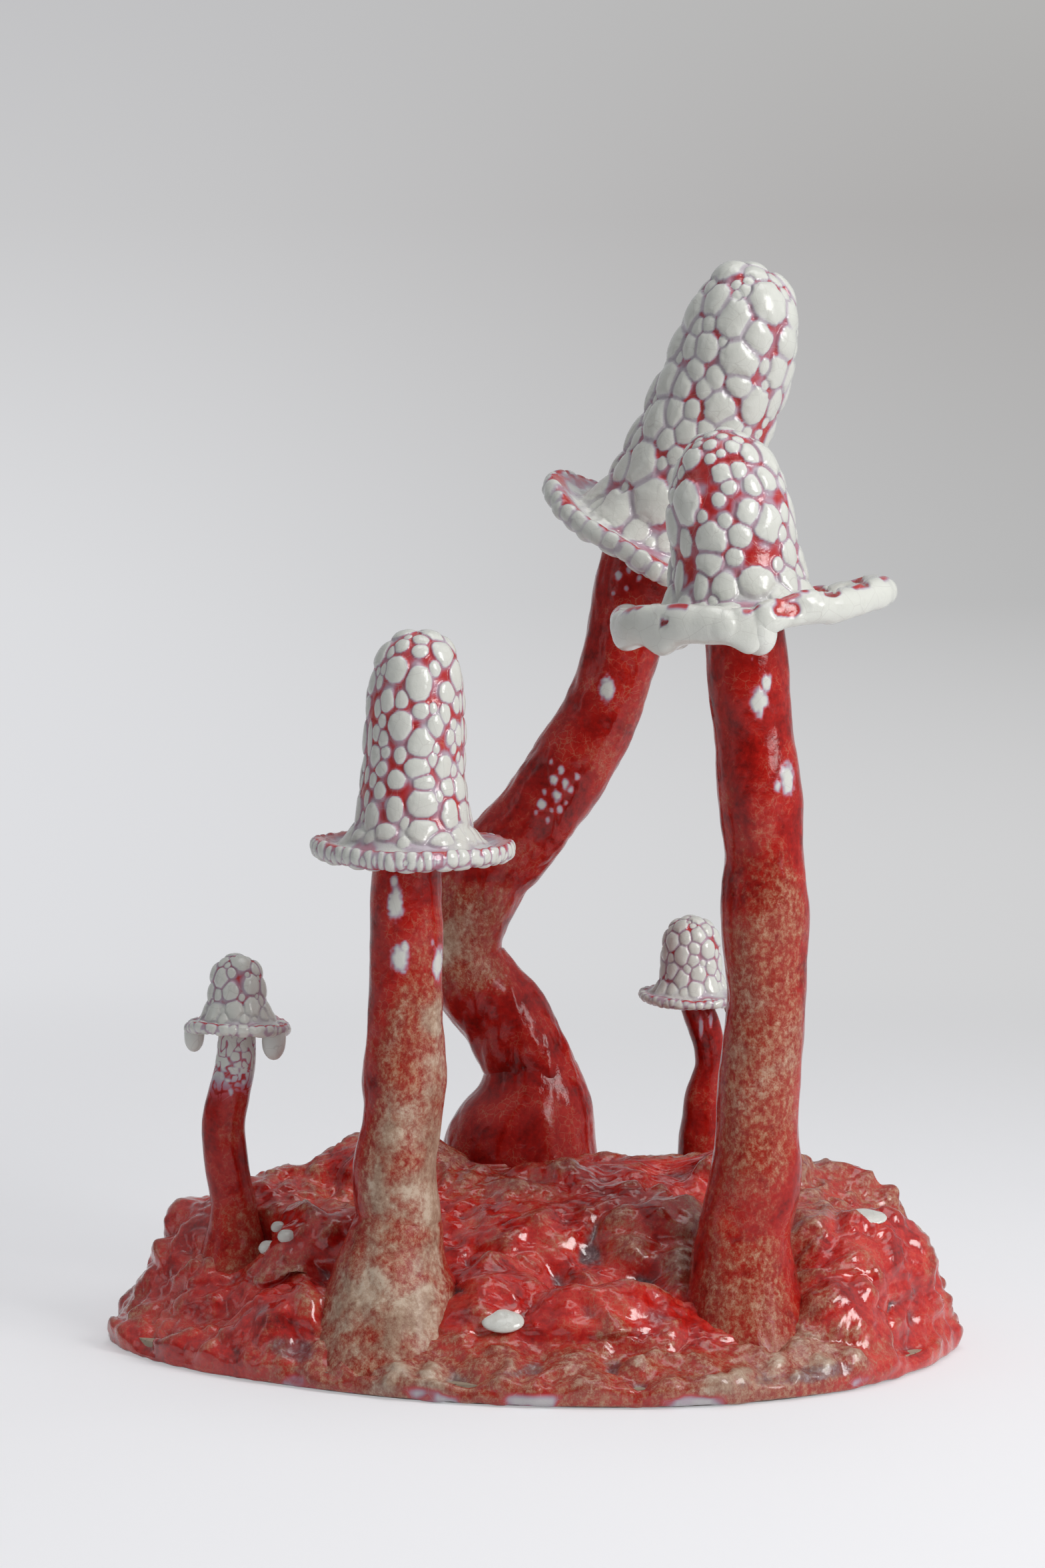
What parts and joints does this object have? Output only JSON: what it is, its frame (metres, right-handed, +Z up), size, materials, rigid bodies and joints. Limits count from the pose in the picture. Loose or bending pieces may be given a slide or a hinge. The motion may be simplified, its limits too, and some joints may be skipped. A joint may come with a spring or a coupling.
{
  "type": "ceramic mushroom ornament",
  "caption": "Cluster of glazed clay mushrooms with long bell caps and crooked stems, standing on a craggy hollow mound.",
  "frame": {"origin": "on the surface the ornament stands on, under the middle of its bounding box", "axes": "+Z up, the front of the ornament towards -Y, +X to the viewer's right"},
  "size_m": [0.3201, 0.2304, 0.4088],
  "materials": {
    "bare_clay": "matte",
    "red_glaze": "gloss",
    "buff_glaze": "satin",
    "white_crawl_glaze": "gloss",
    "white_glaze_bead": "gloss"
  },
  "bodies": {
    "root": {"base_slab": "bare_clay", "mound_shell": "red_glaze", "tall_lower_stem": "red_glaze", "tall_upper_stem": "red_glaze", "tall_foot": "red_glaze", "tall_cap": "white_crawl_glaze", "front_right_stem": "red_glaze", "front_right_foot": "red_glaze", "front_right_cap": "white_crawl_glaze", "front_left_stem": "red_glaze", "front_left_foot": "buff_glaze", "front_left_cap": "white_crawl_glaze", "small_left_stem": "red_glaze", "small_left_cap": "white_crawl_glaze", "small_back_stem": "red_glaze", "small_back_cap": "white_crawl_glaze", "front_right_glaze_beads": "white_glaze_bead", "small_left_glaze_beads": "white_glaze_bead", "small_back_glaze_bead": "white_glaze_bead", "fallen_glaze_drops": "white_glaze_bead"}
  },
  "joints": []
}
